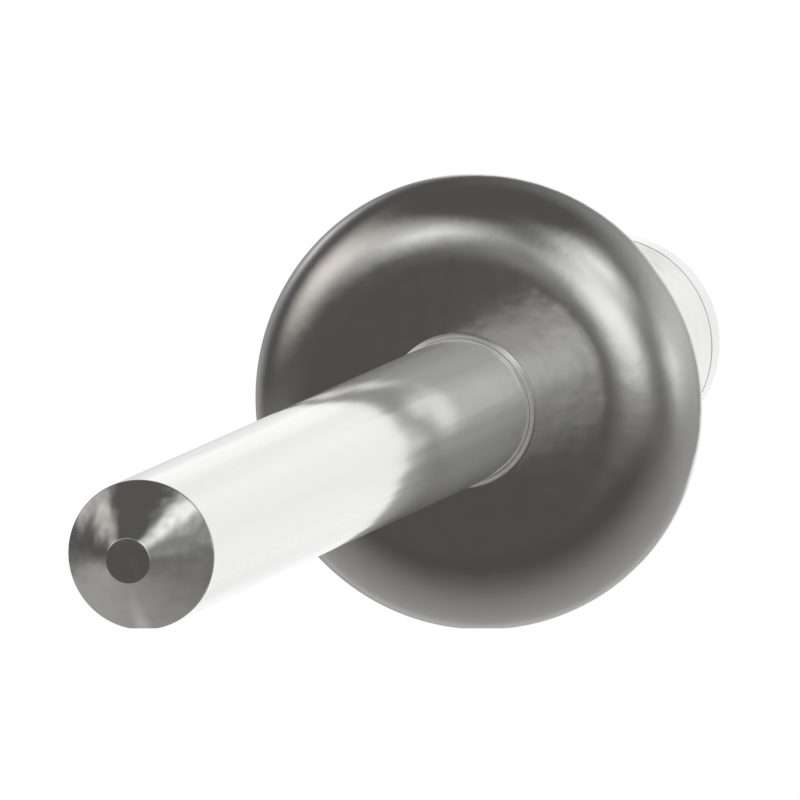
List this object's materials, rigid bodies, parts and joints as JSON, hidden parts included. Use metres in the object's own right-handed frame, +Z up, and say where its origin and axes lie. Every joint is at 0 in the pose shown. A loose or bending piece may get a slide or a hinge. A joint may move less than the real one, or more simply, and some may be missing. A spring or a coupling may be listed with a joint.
{
  "type": "pop rivet",
  "caption": "Unset steel blind rivet: domed head with rounded rim, tubular sleeve, and a pulling mandrel with a pointed tip and a domed head seated on the sleeve's end.",
  "frame": {"origin": "on the floor under the middle of the rivet's bounding box, as it lies on the rim of its head and the edge of the mandrel's tip", "axes": "+Z up, the rivet's axis in the YZ plane with the mandrel's tip towards -Y and sloping down to the floor, +X across"},
  "size_m": [0.01, 0.0438, 0.01],
  "materials": {
    "body_steel": "satin zinc plated steel, cold formed",
    "mandrel_steel": "bright drawn steel with faint lengthwise drawing lines"
  },
  "bodies": {
    "root": {"rivet_body": "body_steel", "mandrel": "mandrel_steel"}
  },
  "joints": []
}
